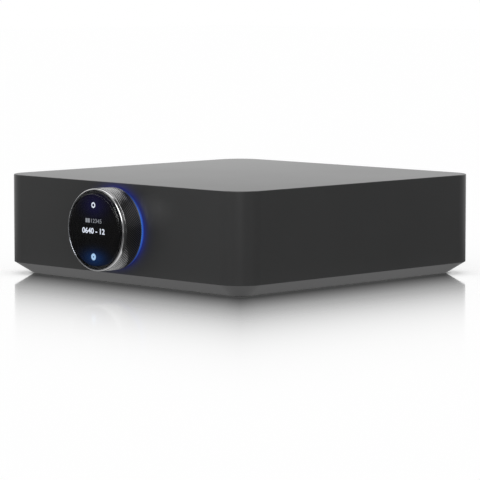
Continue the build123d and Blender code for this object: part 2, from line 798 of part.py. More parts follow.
with BuildPart() as optical_jack:
    block(rear, io_face, optical_face, optical_wide, optical_wide, spots=[optical_spot])
    block(rear, optical_face - optical_deep, optical_face, optical_mouth, optical_mouth,
          spots=[optical_spot], mode=Mode.SUBTRACT)
    hole_long = pin_long + 2 * flap_pin_fit
    round_bar(side, optical_x - hole_long / 2, optical_x + hole_long / 2, flap_pin_r + flap_pin_fit,
              mode=Mode.SUBTRACT)
optical_jack.part.label = "optical_jack"
export_step(optical_jack.part, "parts/optical_jack.step")

with BuildPart() as optical_flap:
    round_bar(side, optical_x - pin_long / 2, optical_x + pin_long / 2, flap_pin_r)
    block(side, optical_x - flap_wide / 2, optical_x + flap_wide / 2, flap_t, flap_pin_z - flap_low,
          spots=[(0, -(flap_pin_z - flap_low) / 2)])
optical_flap.part.label = "optical_flap"
export_step(optical_flap.part, "parts/optical_flap.step")

# Reset button on its switch

button_flange_front = panel_in - button_back
switch_top = io_face + switch_t
stem_end = switch_top - switch_hole_deep + button_travel + button_gap

with BuildPart() as reset_button:
    round_bar(rear, button_flange_front, panel_out + button_proud, button_r, spots=[button_spot])
    round_bar(rear, button_flange_front - button_flange_t, button_flange_front, button_flange_r,
              spots=[button_spot])
    round_bar(rear, stem_end, button_flange_front - button_flange_t, button_stem_r, spots=[button_spot])
reset_button.part.label = "reset_button"
export_step(reset_button.part, "parts/reset_button.step")

with BuildPart() as reset_switch:
    block(rear, io_face, switch_top, switch_wide, switch_wide, spots=[button_spot])
    round_bar(rear, switch_top - switch_hole_deep, switch_top, button_stem_r + button_gap,
              spots=[button_spot], mode=Mode.SUBTRACT)
reset_switch.part.label = "reset_switch"
export_step(reset_switch.part, "parts/reset_switch.step")

# Boards and their screws

with BuildPart() as io_board:
    io_spot = ((io_right - io_left) / 2, (io_low + io_high) / 2)
    block(rear, io_back, io_face, io_left + io_right, io_high - io_low, spots=[io_spot])
    round_bar(rear, io_back, io_face, tap_r, spots=pillar_spots, mode=Mode.SUBTRACT)
io_board.part.label = "io_board"
export_step(io_board.part, "parts/io_board.step")

for label, sign in (("power_board", -1), ("amp_board", 1)):
    with BuildPart() as board:
        middle = (sign * board_mid_x, board_mid_y)
        block(table_up, board_z, board_top, board_wide, board_long, spots=[middle])
        own_spots = [spot for spot in board_spots if spot[0] * sign > 0]
        round_bar(table_up, board_z, board_top, tap_r, spots=own_spots, mode=Mode.SUBTRACT)
    board.part.label = label
    export_step(board.part, f"parts/{label}.step")

with BuildPart() as board_screws:
    screws(table_up, board_top, board_spots, board_screw_long)
    io_inside = Plane(origin=(0, half + io_back, 0), x_dir=(1, 0, 0), z_dir=(0, -1, 0))
    screws(io_inside, 0, [(-u, v) for u, v in pillar_spots], board_screw_long)
board_screws.part.label = "board_screws"
export_step(board_screws.part, "parts/board_screws.step")

# Power supply

with BuildPart() as transformer_core:
    block(table_up, board_top, board_top + core_high, core_wide, core_deep, spots=[transformer_spot])
    window_wide_each = (core_wide - 3 * core_leg) / 2
    window_off = (core_leg + window_wide_each) / 2
    window_low = board_top + (core_high - core_window_high) / 2
    core_windows = [(transformer_spot[0] + a * window_off, transformer_spot[1]) for a in (-1, 1)]
    block(table_up, window_low, window_low + core_window_high, window_wide_each, core_deep,
          spots=core_windows, mode=Mode.SUBTRACT)
transformer_core.part.label = "transformer_core"
export_step(transformer_core.part, "parts/transformer_core.step")

with BuildPart() as transformer_winding:
    block(table_up, window_low, window_low + core_window_high, core_leg + 2 * window_wide_each,
          core_deep + 2 * winding_bulge, spots=[transformer_spot])
    fillet(transformer_winding.edges().filter_by(Axis.Z), winding_bulge / 2)
    block(table_up, window_low, window_low + core_window_high, core_leg + 2 * winding_gap,
          core_deep + 2 * winding_gap, spots=[transformer_spot], mode=Mode.SUBTRACT)
transformer_winding.part.label = "transformer_winding"
export_step(transformer_winding.part, "parts/transformer_winding.step")

with BuildPart() as bulk_capacitors:
    round_bar(table_up, board_top, board_top + capacitor_high, capacitor_r, spots=capacitor_spots)
bulk_capacitors.part.label = "bulk_capacitors"
export_step(bulk_capacitors.part, "parts/bulk_capacitors.step")

with BuildPart() as mains_choke:
    choke_plane = Plane(origin=(*choke_spot, board_top + choke_r + choke_wire_r), z_dir=(1, 0, 0))
    with Locations(choke_plane):
        Torus(choke_r, choke_wire_r)
mains_choke.part.label = "mains_choke"
export_step(mains_choke.part, "parts/mains_choke.step")

# Amplifier stage, its heat sink and the radio module

sink_x = flex_x + flex_wide / 2 + sink_side_gap + sink_wide / 2
chip_spots = [(sink_x + a * chip_pitch / 2, chip_y) for a in (-1, 1)]

with BuildPart() as amp_chips:
    block(table_up, board_top, board_top + chip_t, chip_wide, chip_wide, spots=chip_spots)
amp_chips.part.label = "amp_chips"
export_step(amp_chips.part, "parts/amp_chips.step")

fin_step = (sink_wide - sink_fin_t) / (sink_fins - 1)
fin_spots = [(sink_x - sink_wide / 2 + sink_fin_t / 2 + fin_step * n, chip_y) for n in range(sink_fins)]
sink_z = board_top + chip_t

with BuildPart() as amp_heatsink:
    block(table_up, sink_z, sink_z + sink_base, sink_wide, sink_deep, spots=[(sink_x, chip_y)])
    block(table_up, sink_z + sink_base, sink_z + sink_high, sink_fin_t, sink_deep, spots=fin_spots)
amp_heatsink.part.label = "amp_heatsink"
export_step(amp_heatsink.part, "parts/amp_heatsink.step")

with BuildPart() as output_inductors:
    block(table_up, board_top, board_top + coil_high, coil_wide, coil_wide, spots=coil_spots)
output_inductors.part.label = "output_inductors"
export_step(output_inductors.part, "parts/output_inductors.step")

with BuildPart() as network_module:
    block(table_up, board_top, board_top + radio_t, radio_wide, radio_deep, spots=[radio_spot])
    block(table_up, board_top + radio_t, board_top + radio_t + radio_can_t, radio_wide - 2 * radio_can_in,
          radio_deep - 2 * radio_can_in, spots=[radio_spot])
network_module.part.label = "network_module"
export_step(network_module.part, "parts/network_module.step")

# Inner leads

with BuildPart() as speaker_leads:
    columns = sorted({u for u, v in post_spots})
    rows = sorted({v for u, v in post_spots})
    for u, v in post_spots:
        run_y = half + panel_in - stud_long_in - lead_back - lead_step * columns.index(u)
        drop_x = board_split / 2 + lead_side + lead_step * (rows.index(v) * 2 + columns.index(u))
        stud_tip = (-u, half + panel_in - stud_long_in, v)
        board_pad = (drop_x, run_y, board_top)
        wire([stud_tip, (-u, run_y, v), (drop_x, run_y, v), board_pad], lead_r, lead_bend)
speaker_leads.part.label = "speaker_leads"
export_step(speaker_leads.part, "parts/speaker_leads.step")

with BuildPart() as mains_leads:
    for u, v in pin_spots:
        back_y = half + mains_back
        drop_y = back_y - mains_lead_drop
        wire([(-u, back_y, v), (-u, drop_y, v), (-u, drop_y, board_top)], lead_r, lead_bend)
mains_leads.part.label = "mains_leads"
export_step(mains_leads.part, "parts/mains_leads.step")
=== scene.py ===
"""Compact stereo amplifier with a round front dial: the looks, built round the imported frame."""
import json
import math

import bmesh
import bpy
from mathutils import Matrix, Vector


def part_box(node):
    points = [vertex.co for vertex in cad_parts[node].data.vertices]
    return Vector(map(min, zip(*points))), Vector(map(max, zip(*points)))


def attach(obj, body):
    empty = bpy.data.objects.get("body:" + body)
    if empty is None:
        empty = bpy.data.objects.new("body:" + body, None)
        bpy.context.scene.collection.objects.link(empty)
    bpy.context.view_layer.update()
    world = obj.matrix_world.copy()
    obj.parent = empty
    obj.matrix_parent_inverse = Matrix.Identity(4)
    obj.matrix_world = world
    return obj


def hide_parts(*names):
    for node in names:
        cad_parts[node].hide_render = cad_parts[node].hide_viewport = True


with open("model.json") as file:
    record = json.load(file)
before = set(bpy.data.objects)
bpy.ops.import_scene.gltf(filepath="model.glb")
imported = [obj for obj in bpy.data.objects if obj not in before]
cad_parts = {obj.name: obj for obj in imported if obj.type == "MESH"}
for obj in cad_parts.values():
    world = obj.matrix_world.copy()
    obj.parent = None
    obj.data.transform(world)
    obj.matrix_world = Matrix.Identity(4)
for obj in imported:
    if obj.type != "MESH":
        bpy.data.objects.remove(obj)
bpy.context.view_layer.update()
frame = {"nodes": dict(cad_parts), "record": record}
nodes = frame["nodes"]

MM = 0.001

# Case and dial, as the frame has them. A reach is measured forward of the front wall.
HALF = 108.5 * MM
FRONT = -HALF
DIAL_Z = 36.1 * MM
DIAL_R = 25.7 * MM
DIAL_BACK = 2.2 * MM
DIAL_FRONT = 15.3 * MM

# Dial sleeve: diamonds of the knurl between two smooth bands
KNURL_AROUND = 118
KNURL_PITCH = 1.9 * MM
KNURL_DEEP = 0.1 * MM
KNURL_START = DIAL_BACK + 0.75 * MM
KNURL_END = DIAL_FRONT - 0.55 * MM
KNURL_FLOOR = DIAL_R - KNURL_DEEP

# Bright rim on the dial's front
RIM_INNER = 24.5 * MM
RIM_OUTER = 25.45 * MM
RIM_FRONT = 17.6 * MM

# Lit figures, at the inner face of the cover glass
FIGURE_REACH = 19.02 * MM
FIGURE_THICK = 0.02 * MM

# Coloured ring let into the side of each terminal cap, from start to end in from the cap's end
RING_DEEP = 1.2 * MM
RING_SUNK = 0.05 * MM
RING_START = 2.2 * MM
RING_END = 3.9 * MM

# Network socket: its mouth, the notch above it for the plug's latch, and the eight contacts
MOUTH_WIDE = 11.8 * MM
MOUTH_HIGH = 7.0 * MM
LATCH_HIGH = 2.6 * MM
LINING_SPARE = 0.2 * MM
LINING_DEEP = 0.5 * MM
CONTACTS = 8
CONTACT_PITCH = 1.02 * MM
CONTACT_WIDE = 0.44 * MM
CONTACT_THICK = 0.24 * MM
CONTACT_PATH_MM = [(10.49, 0.14), (2.6, 0.14), (2.1, 0.3), (2.0, 0.6), (2.4, 0.85), (8.6, 3.1)]

# Foot of the base on the table
FOOT_HALF = 97.3 * MM
FOOT_ROUND = 8.5 * MM

# The table's mirror fades outwards from the foot
FADE_START = 0.1
FADE_LENGTH = 0.088
FADE_POWER = 1.5
MIRROR_MOST = 0.97

# Painted shadow: a soft dark margin painted on the table round the foot
PAINTED_SHADOW_START = 0.007
PAINTED_SHADOW_LENGTH = 0.007
PAINTED_SHADOW_DEEP = 0.4
PAINTED_SHADOW_DEEP_FRONT = 0.3

TABLE_REACH = 6.0
TABLE_WHITE = 1.06

# Camera, corner on to the case
CAMERA_TILT = math.radians(5.52)
CAMERA_TARGET = Vector((0, 0, 0.02134))
CAMERA_AWAY = 1.7983
CAMERA_LENS = 208.14
DIAGONAL = math.sqrt(0.5)

WHITE = (1, 1, 1, 1)


def add_to_scene(obj):
    bpy.context.scene.collection.objects.link(obj)
    return obj


class Nodes:
    """Adds nodes to one shader tree. Every maker returns the node or a socket."""

    def __init__(self, tree):
        self.tree = tree
        tree.nodes.clear()
        self.coords = tree.nodes.new("ShaderNodeTexCoord")

    def link(self, source, target):
        self.tree.links.new(source, target)

    def node(self, kind, inputs=None, **settings):
        made = self.tree.nodes.new(kind)
        for key, value in settings.items():
            setattr(made, key, value)
        for key, value in (inputs or {}).items():
            if isinstance(value, bpy.types.NodeSocket):
                self.link(value, made.inputs[key])
            else:
                made.inputs[key].default_value = value
        return made

    def remap(self, value, low, high, to_low, to_high, interpolation="LINEAR"):
        ends = {"From Min": low, "From Max": high, "To Min": to_low, "To Max": to_high}
        made = self.node("ShaderNodeMapRange", {"Value": value, **ends},
                         interpolation_type=interpolation)
        return made.outputs["Result"]

    def math(self, kind, a, b=0.0, c=0.0):
        return self.node("ShaderNodeMath", {0: a, 1: b, 2: c}, operation=kind).outputs["Value"]

    def times(self, first, *others):
        for other in others:
            first = self.math("MULTIPLY", first, other)
        return first

    def minus(self, a, b):
        return self.math("SUBTRACT", a, b)

    def largest(self, first, *others):
        for other in others:
            first = self.math("MAXIMUM", first, other)
        return first

    def smallest(self, first, *others):
        for other in others:
            first = self.math("MINIMUM", first, other)
        return first

    def squares(self, a, b):
        """The sum of two squares."""
        return self.math("ADD", self.math("POWER", a, 2.0), self.math("POWER", b, 2.0))

    def distance(self, a, b):
        return self.math("SQRT", self.squares(a, b))


class Finish(Nodes):
    """One material's nodes."""

    def __init__(self, name):
        self.material = bpy.data.materials.new(name)
        self.material.use_nodes = True
        super().__init__(self.material.node_tree)
        self.output = self.tree.nodes.new("ShaderNodeOutputMaterial")

    def place(self, shift=(0, 0, 0)):
        """Object coordinates as three sockets, moved by shift."""
        moved = self.node("ShaderNodeMapping", {"Location": shift})
        self.link(self.coords.outputs["Object"], moved.inputs["Vector"])
        split = self.node("ShaderNodeSeparateXYZ", {"Vector": moved.outputs["Vector"]})
        return split.outputs["X"], split.outputs["Y"], split.outputs["Z"]

    def noise(self, scale, detail=3.0, rough=0.5, vector=None):
        inputs = {"Scale": scale, "Detail": detail, "Roughness": rough}
        made = self.node("ShaderNodeTexNoise", inputs)
        self.link(vector or self.coords.outputs["Object"], made.inputs["Vector"])
        return made.outputs["Fac"]

    def ramp(self, fac, stops):
        made = self.node("ShaderNodeValToRGB", {"Fac": fac})
        band = made.color_ramp
        while len(band.elements) < len(stops):
            band.elements.new(0.5)
        for element, (where, colour) in zip(band.elements, stops):
            element.position = where
            element.color = opaque(colour)
        return made.outputs["Color"]

    def bump(self, height, strength, distance):
        inputs = {"Height": height, "Strength": strength, "Distance": distance}
        return self.node("ShaderNodeBump", inputs).outputs["Normal"]

    def lit(self, colour, strength):
        inputs = {"Color": opaque(colour), "Strength": strength}
        return self.node("ShaderNodeEmission", inputs).outputs["Emission"]

    def mix(self, share, first, second):
        made = self.node("ShaderNodeMixShader", {"Fac": share, 1: first, 2: second})
        return made.outputs["Shader"]

    def surface(self, shader):
        self.link(shader, self.output.inputs["Surface"])
        return self.material

    def principled(self, **inputs):
        named = {key.replace("_", " "): value for key, value in inputs.items()}
        made = self.node("ShaderNodeBsdfPrincipled", named)
        self.surface(made.outputs["BSDF"])
        return made


def opaque(colour):
    return (colour[0], colour[1], colour[2], 1.0)


def shaded(colour, share):
    return tuple(part * share for part in colour)


def paint_material(name, colour, rough, spill=0.0):
    """Satin powder paint: a fine orange peel, drifts of gloss, a little smoother to the back.
    With spill, blue light from the ring is painted on the wall round the dial as a glow of the
    paint."""
    finish = Finish(name)
    peel = finish.noise(900.0, 4.0, 0.55)
    drift = finish.noise(9.0, 3.0)
    x, y, z = finish.place()
    across = finish.remap(finish.minus(y, x), -0.2, 0.2, rough + 0.03, rough - 0.03)
    gloss = finish.math("ADD", across, finish.remap(drift, 0.3, 0.7, -0.01, 0.01))
    tint = finish.ramp(drift, [(0.35, shaded(colour, 0.95)), (0.65, shaded(colour, 1.05))])
    normal = finish.bump(peel, 0.02, 0.0004)
    made = finish.principled(Base_Color=tint, Roughness=gloss, Normal=normal)
    if spill:
        # Painted light: a blue glow in the paint, fading outwards from the dial and weaker below
        # it, for the ring's light on the wall.
        up = finish.minus(z, DIAL_Z)
        past_dial = finish.largest(finish.minus(finish.distance(up, x), DIAL_R), 0.0)
        fall = finish.math("EXPONENT", finish.math("DIVIDE", past_dial, -2.2 * MM))
        weaker_below = finish.remap(up, -0.026, -0.012, 0.3, 1.0)
        on_wall = finish.math("LESS_THAN", y, FRONT + 0.4 * MM)
        strength = finish.times(fall, weaker_below, on_wall, spill)
        finish.link(strength, made.inputs["Emission Strength"])
        made.inputs["Emission Color"].default_value = (0.004, 0.02, 1.0, 1.0)
    return finish.material


def plastic_material(name, colour, rough, grain=1500.0, grain_deep=0.1):
    """Moulded plastic with a fine even spark grain."""
    finish = Finish(name)
    cells = finish.node("ShaderNodeTexVoronoi", {"Scale": grain}, feature="SMOOTH_F1")
    finish.link(finish.coords.outputs["Object"], cells.inputs["Vector"])
    drift = finish.noise(25.0, 4.0)
    gloss = finish.remap(drift, 0.3, 0.7, rough - 0.04, rough + 0.04)
    tint = finish.ramp(drift, [(0.3, shaded(colour, 0.9)), (0.7, shaded(colour, 1.1))])
    normal = finish.bump(cells.outputs["Distance"], grain_deep, 0.0003)
    finish.principled(Base_Color=tint, Roughness=gloss, Normal=normal)
    return finish.material


def metal_material(name, colour, rough):
    """Machined or plated metal with fine marks."""
    finish = Finish(name)
    marks = finish.noise(600.0, 5.0, 0.65)
    haze = finish.noise(40.0, 3.0)
    gloss = finish.remap(haze, 0.3, 0.7, rough - 0.05, rough + 0.05)
    tint = finish.ramp(marks, [(0.3, shaded(colour, 0.9)), (0.7, shaded(colour, 1.05))])
    normal = finish.bump(marks, 0.05, 0.0002)
    finish.principled(Base_Color=tint, Roughness=gloss, Metallic=1.0, Normal=normal)
    return finish.material


def lined_metal_material(name, colour, rough, lining, low, high):
    """Plated shell whose mouth, the box from low to high, is lined with dark plastic."""
    finish = Finish(name)
    edge = 0.02 * MM
    inside = 1.0
    for place, start, end in zip(finish.place(), low, high):
        after = finish.remap(place, start, start + edge, 0.0, 1.0)
        before = finish.remap(place, end - edge, end, 1.0, 0.0)
        inside = finish.smallest(after, before, inside)
    marks = finish.noise(600.0, 5.0, 0.65)
    # The marks fill the first 0.3 of the ramp, and the lining lies past 0.7
    along_ramp = finish.math("MULTIPLY_ADD", marks, 0.3, inside)
    dull, bright = shaded(colour, 0.9), shaded(colour, 1.05)
    tint = finish.ramp(along_ramp, [(0.09, dull), (0.21, bright), (0.5, bright), (0.7, lining)])
    gloss = finish.remap(inside, 0.0, 1.0, rough, 0.45)
    metallic = finish.remap(inside, 0.0, 1.0, 1.0, 0.0)
    normal = finish.bump(marks, 0.05, 0.0002)
    finish.principled(Base_Color=tint, Roughness=gloss, Metallic=metallic, Normal=normal)
    return finish.material


def knurled_metal_material(name, colour, rough):
    """Metal of the dial's sleeve: bright on the crests of the knurl, with painted shade darkening
    its grooves.
    """
    finish = Finish(name)
    x, _, z = finish.place(shift=(0, 0, -DIAL_Z))
    shaded_groove, crest = DIAL_R - 0.85 * KNURL_DEEP, DIAL_R - 0.3 * KNURL_DEEP
    height = finish.remap(finish.distance(x, z), shaded_groove, crest, 0.0, 1.0)
    haze = finish.noise(40.0, 3.0)
    gloss = finish.remap(haze, 0.3, 0.7, rough - 0.04, rough + 0.04)
    # Painted shade: the metal's colour falls to about a tenth of itself down in the knurl's
    # grooves.
    tint = finish.ramp(height, [(0.0, shaded(colour, 0.09)), (1.0, colour)])
    marks = finish.noise(900.0, 5.0, 0.65)
    normal = finish.bump(marks, 0.02, 0.0002)
    finish.principled(Base_Color=tint, Roughness=gloss, Metallic=1.0, Normal=normal)
    return finish.material


def turned_metal_material(name, colour, rough):
    """Metal turned on a lathe about the dial's axis: fine rings round the axis."""
    finish = Finish(name)
    x, y, z = finish.place(shift=(0, 0, -DIAL_Z))
    line = finish.node("ShaderNodeCombineXYZ", {"X": finish.distance(x, z), "Y": y})
    rings = finish.noise(9000.0, 2.0, 0.5, line.outputs["Vector"])
    haze = finish.noise(60.0, 3.0)
    gloss = finish.remap(haze, 0.3, 0.7, rough - 0.03, rough + 0.03)
    normal = finish.bump(rings, 0.01, 0.0001)
    around = finish.node("ShaderNodeTangent", direction_type="RADIAL", axis="Y")
    finish.principled(Base_Color=opaque(colour), Roughness=gloss, Metallic=1.0, Anisotropic=0.15,
                      Normal=normal, Tangent=around.outputs["Tangent"])
    return finish.material


def lamp_material(name, colour, strength, base):
    """Body of a small lamp, glowing a little unevenly."""
    finish = Finish(name)
    power = finish.remap(finish.noise(120.0, 2.0), 0.3, 0.7, strength * 0.92, strength * 1.08)
    finish.principled(Base_Color=opaque(base), Roughness=0.4, Emission_Color=opaque(colour),
                      Emission_Strength=power)
    return finish.material


def figure_material(name, colour, strength):
    """Lit figures of the display."""
    finish = Finish(name)
    power = finish.remap(finish.noise(5000.0, 1.0), 0.3, 0.7, strength * 0.97, strength * 1.03)
    finish.principled(Base_Color=(0, 0, 0, 1), Roughness=1.0, Emission_Color=opaque(colour),
                      Emission_Strength=power)
    return finish.material


def ring_light_material(name):
    """Light guide: pale blue at the dial, deeper at the wall, with painted shade making it weaker
    above and below, where the dial hides it.
    """
    finish = Finish(name)
    _, y, z = finish.place(shift=(0, -FRONT, -DIAL_Z))
    near_dial = finish.remap(finish.times(y, -1.0), 0.2 * MM, 1.7 * MM, 0.0, 1.0)
    at_wall, between, at_dial = (0.012, 0.05, 0.32), (0.016, 0.075, 0.45), (0.07, 0.26, 0.72)
    colour = finish.ramp(near_dial, [(0.0, at_wall), (0.55, between), (1.0, at_dial)])
    # Painted shade: the glow is dimmed away from the dial's axis, above and below, for the dial's
    # shade on the ring.
    level = finish.remap(finish.math("ABSOLUTE", z), 6 * MM, 24 * MM, 1.0, 0.3)
    power = finish.times(level, finish.remap(finish.noise(120.0, 2.0), 0.3, 0.7, 0.92, 1.08))
    finish.principled(Base_Color=(0.02, 0.02, 0.03, 1), Roughness=0.4, Emission_Color=colour,
                      Emission_Strength=power)
    return finish.material


def board_material(name):
    """Green board with its tracks as raised lines."""
    finish = Finish(name)
    greens = {"Color1": (0.01, 0.07, 0.03, 1), "Color2": (0.012, 0.085, 0.035, 1),
              "Mortar": (0.03, 0.16, 0.07, 1)}
    tracks = finish.node("ShaderNodeTexBrick", {"Scale": 180.0, "Mortar Size": 0.03, **greens})
    finish.link(finish.coords.outputs["Object"], tracks.inputs["Vector"])
    normal = finish.bump(tracks.outputs["Fac"], 0.3, 0.0001)
    finish.principled(Base_Color=tracks.outputs["Color"], Roughness=0.35, Normal=normal)
    return finish.material


def winding_material(name):
    """Enamelled wire wound in close turns."""
    finish = Finish(name)
    inputs = {"Scale": 350.0, "Distortion": 0.6, "Detail": 1.0}
    turns = finish.node("ShaderNodeTexWave", inputs, bands_direction="Y")
    finish.link(finish.coords.outputs["Object"], turns.inputs["Vector"])
    # Painted shade: the wire's colour darkens in the grooves between the turns.
    shaded_groove, crown = (0.14, 0.04, 0.015), (0.5, 0.18, 0.06)
    tint = finish.ramp(turns.outputs["Fac"], [(0.2, shaded_groove), (0.8, crown)])
    normal = finish.bump(turns.outputs["Fac"], 0.6, 0.0003)
    finish.principled(Base_Color=tint, Roughness=0.3, Metallic=0.7, Normal=normal)
    return finish.material


def glass_material(name):
    """Coated cover glass: seen straight through, with a weak shine on its outer face."""
    finish = Finish(name)
    gloss = finish.remap(finish.noise(30.0, 3.0), 0.35, 0.7, 0.1, 0.13)
    clear = finish.node("ShaderNodeBsdfTransparent", {"Color": (0.93, 0.94, 0.96, 1)})
    shine = finish.node("ShaderNodeBsdfGlossy", {"Color": WHITE, "Roughness": gloss})
    edge = finish.node("ShaderNodeFresnel", {"IOR": 1.45})
    side = finish.node("ShaderNodeNewGeometry")
    outside = finish.minus(1.0, side.outputs["Backfacing"])
    share = finish.times(finish.smallest(edge.outputs["Fac"], 0.035), outside)
    return finish.surface(finish.mix(share, clear.outputs["BSDF"], shine.outputs["BSDF"]))


def display_material(name):
    """Lit display: near black, indigo about the upper sign and blue about the lower."""
    finish = Finish(name)
    x, _, z = finish.place(shift=(0, 0, -DIAL_Z))

    def veil(colour, height, wide, tall):
        """Soft oval of light at a height above the dial's axis."""
        across = finish.math("DIVIDE", x, wide)
        up = finish.math("DIVIDE", finish.minus(z, height), tall)
        spread = finish.math("EXPONENT", finish.times(finish.squares(across, up), -1.0))
        return finish.lit(colour, spread)

    upper = veil((0.004, 0.003, 0.03), 15.5 * MM, 10 * MM, 7 * MM)
    lower = veil((0.003, 0.022, 0.085), -17.5 * MM, 9 * MM, 4.5 * MM)
    grain = finish.remap(finish.noise(4000.0, 1.0), 0.3, 0.7, 0.9, 1.1)
    dark = finish.lit((0.0007, 0.0007, 0.0009), grain)
    both = finish.node("ShaderNodeAddShader", {0: upper, 1: lower})
    every = finish.node("ShaderNodeAddShader", {0: both.outputs["Shader"], 1: dark})
    return finish.surface(every.outputs["Shader"])


PAINT = (0.031, 0.0313, 0.0315)
RUBBER = (0.012, 0.012, 0.012)
PLATING = (0.62, 0.62, 0.6)
materials = {
    "case_paint": paint_material("case paint", PAINT, 0.325, spill=0.1),
    "base_plastic": paint_material("base paint", PAINT, 0.38),
    "foot_rubber": plastic_material("foot rubber", RUBBER, 0.8),
    "black_screw": metal_material("blackened screw", (0.06, 0.06, 0.063), 0.35),
    "panel_plastic": plastic_material("panel plastic", (0.018, 0.018, 0.019), 0.5, 1300, 0.25),
    "dial_metal": knurled_metal_material("dial metal", (0.63, 0.63, 0.635), 0.14),
    "rim_metal": turned_metal_material("rim metal", (0.8, 0.8, 0.81), 0.09),
    "bearing_steel": metal_material("bearing steel", (0.55, 0.55, 0.56), 0.2),
    "cage_brass": metal_material("cage brass", (0.6, 0.42, 0.18), 0.3),
    "magnet": metal_material("magnet", (0.12, 0.12, 0.13), 0.4),
    "hub_metal": metal_material("hub metal", (0.4, 0.4, 0.41), 0.35),
    "light_guide": ring_light_material("light guide"),
    "circuit_board": board_material("circuit board"),
    "led": lamp_material("lamp", (0.25, 0.45, 1.0), 3.0, (0.6, 0.6, 0.5)),
    "black_plastic": plastic_material("black plastic", (0.012, 0.012, 0.012), 0.4),
    "display": display_material("display"),
    "display_glass": glass_material("cover glass"),
    "flex_amber": plastic_material("amber flex", (0.35, 0.14, 0.03), 0.35, 800),
    "plated_metal": metal_material("plated metal", PLATING, 0.25),
    "contact_black": plastic_material("contact plastic", (0.01, 0.01, 0.01), 0.35),
    "phono_core": plastic_material("phono core", (0.03, 0.03, 0.03), 0.4),
    "plated_brass": metal_material("plated brass", (0.75, 0.55, 0.25), 0.22),
    "cap_black": plastic_material("cap plastic", (0.015, 0.015, 0.016), 0.3),
    "button": plastic_material("button plastic", (0.05, 0.05, 0.05), 0.45),
    "ferrite": plastic_material("ferrite", (0.03, 0.03, 0.032), 0.6, 700, 0.3),
    "winding": winding_material("winding"),
    "capacitor": plastic_material("capacitor sleeve", (0.01, 0.015, 0.05), 0.3),
    "chip": plastic_material("chip", (0.015, 0.015, 0.015), 0.5),
    "sink": metal_material("heatsink", (0.09, 0.09, 0.095), 0.4),
    "lead": plastic_material("lead sleeve", (0.12, 0.01, 0.01), 0.4),
}
slot_of = {part["node"]: part["material_slot"] for part in frame["record"]["subparts"]}


def wear(obj, slot):
    """Gives a piece its slot's finish."""
    if not obj.material_slots:
        obj.data.materials.append(materials[slot])
    for place in obj.material_slots:
        place.material = materials[slot]


for node_name, node in nodes.items():
    wear(node, slot_of[node_name])


def mesh_object(name, verts, faces, smooth=True):
    mesh = bpy.data.meshes.new(name)
    mesh.from_pydata([tuple(v) for v in verts], [], faces)
    mesh.validate()
    mesh.update()
    if smooth:
        mesh.shade_smooth()
    return add_to_scene(bpy.data.objects.new(name, mesh))


def front_point(x, height, reach):
    """A point from its place right of the dial's axis, above it, and forward of the front wall."""
    return Vector((x, FRONT - reach, DIAL_Z + height))


def lathe(name, profile, place, steps=192, sharp=35.0):
    """Turns a closed profile of (radius, reach) about an axis; place(x, height, reach) sets each
    point."""
    verts, faces = [], []
    count = len(profile)
    for step in range(steps):
        angle = 2 * math.pi * step / steps
        for radius, reach in profile:
            verts.append(place(radius * math.cos(angle), radius * math.sin(angle), reach))
        here, after = step * count, (step + 1) % steps * count
        for k in range(count):
            k2 = (k + 1) % count
            faces.append((here + k, here + k2, after + k2, after + k))
    obj = mesh_object(name, verts, faces)
    tidy_normals(obj, sharp)
    return obj


def tidy_normals(obj, sharp=35.0):
    """Welds a mesh, points its faces outwards and marks edges steeper than sharp degrees."""
    work = bmesh.new()
    work.from_mesh(obj.data)
    bmesh.ops.remove_doubles(work, verts=work.verts, dist=1e-7)
    bmesh.ops.recalc_face_normals(work, faces=work.faces)
    for edge in work.edges:
        if len(edge.link_faces) == 2 and edge.calc_face_angle(0) > math.radians(sharp):
            edge.smooth = False
    work.to_mesh(obj.data)
    work.free()


def fit(obj, body, slot, *stands_for):
    """Puts a piece on its body, with its finish, in place of the CAD nodes it stands for."""
    wear(obj, slot)
    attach(obj, body)
    if stands_for:
        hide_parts(*stands_for)


def repeat_group():
    """Geometry nodes: one unit on every point, turned by the point's own attribute, then joined."""
    group = bpy.data.node_groups.new("repeat on points", "GeometryNodeTree")
    face = group.interface
    face.new_socket("Geometry", in_out="INPUT", socket_type="NodeSocketGeometry")
    unit = face.new_socket("Unit", in_out="INPUT", socket_type="NodeSocketObject")
    finish = face.new_socket("Finish", in_out="INPUT", socket_type="NodeSocketMaterial")
    weld = face.new_socket("Weld distance", in_out="INPUT", socket_type="NodeSocketFloat")
    face.new_socket("Geometry", in_out="OUTPUT", socket_type="NodeSocketGeometry")
    start = group.nodes.new("NodeGroupInput")
    end = group.nodes.new("NodeGroupOutput")
    to_points = group.nodes.new("GeometryNodeMeshToPoints")
    unit_in = group.nodes.new("GeometryNodeObjectInfo")
    turn = group.nodes.new("GeometryNodeInputNamedAttribute")
    turn.data_type = "FLOAT_VECTOR"
    turn.inputs["Name"].default_value = "turn"
    to_turn = group.nodes.new("FunctionNodeEulerToRotation")
    put = group.nodes.new("GeometryNodeInstanceOnPoints")
    join = group.nodes.new("GeometryNodeRealizeInstances")
    weld_near = group.nodes.new("GeometryNodeMergeByDistance")
    paint = group.nodes.new("GeometryNodeSetMaterial")
    for source, out, target, into in (
            (start, "Geometry", to_points, "Mesh"),
            (to_points, "Points", put, "Points"),
            (start, "Unit", unit_in, "Object"),
            (unit_in, "Geometry", put, "Instance"),
            (turn, "Attribute", to_turn, "Euler"),
            (to_turn, "Rotation", put, "Rotation"),
            (put, "Instances", join, "Geometry"),
            (join, "Geometry", weld_near, "Geometry"),
            (start, "Weld distance", weld_near, "Distance"),
            (weld_near, "Geometry", paint, "Geometry"),
            (start, "Finish", paint, "Material"),
            (paint, "Geometry", end, "Geometry")):
        group.links.new(source.outputs[out], target.inputs[into])
    return group, unit.identifier, finish.identifier, weld.identifier


repeat, unit_socket, finish_socket, weld_socket = repeat_group()


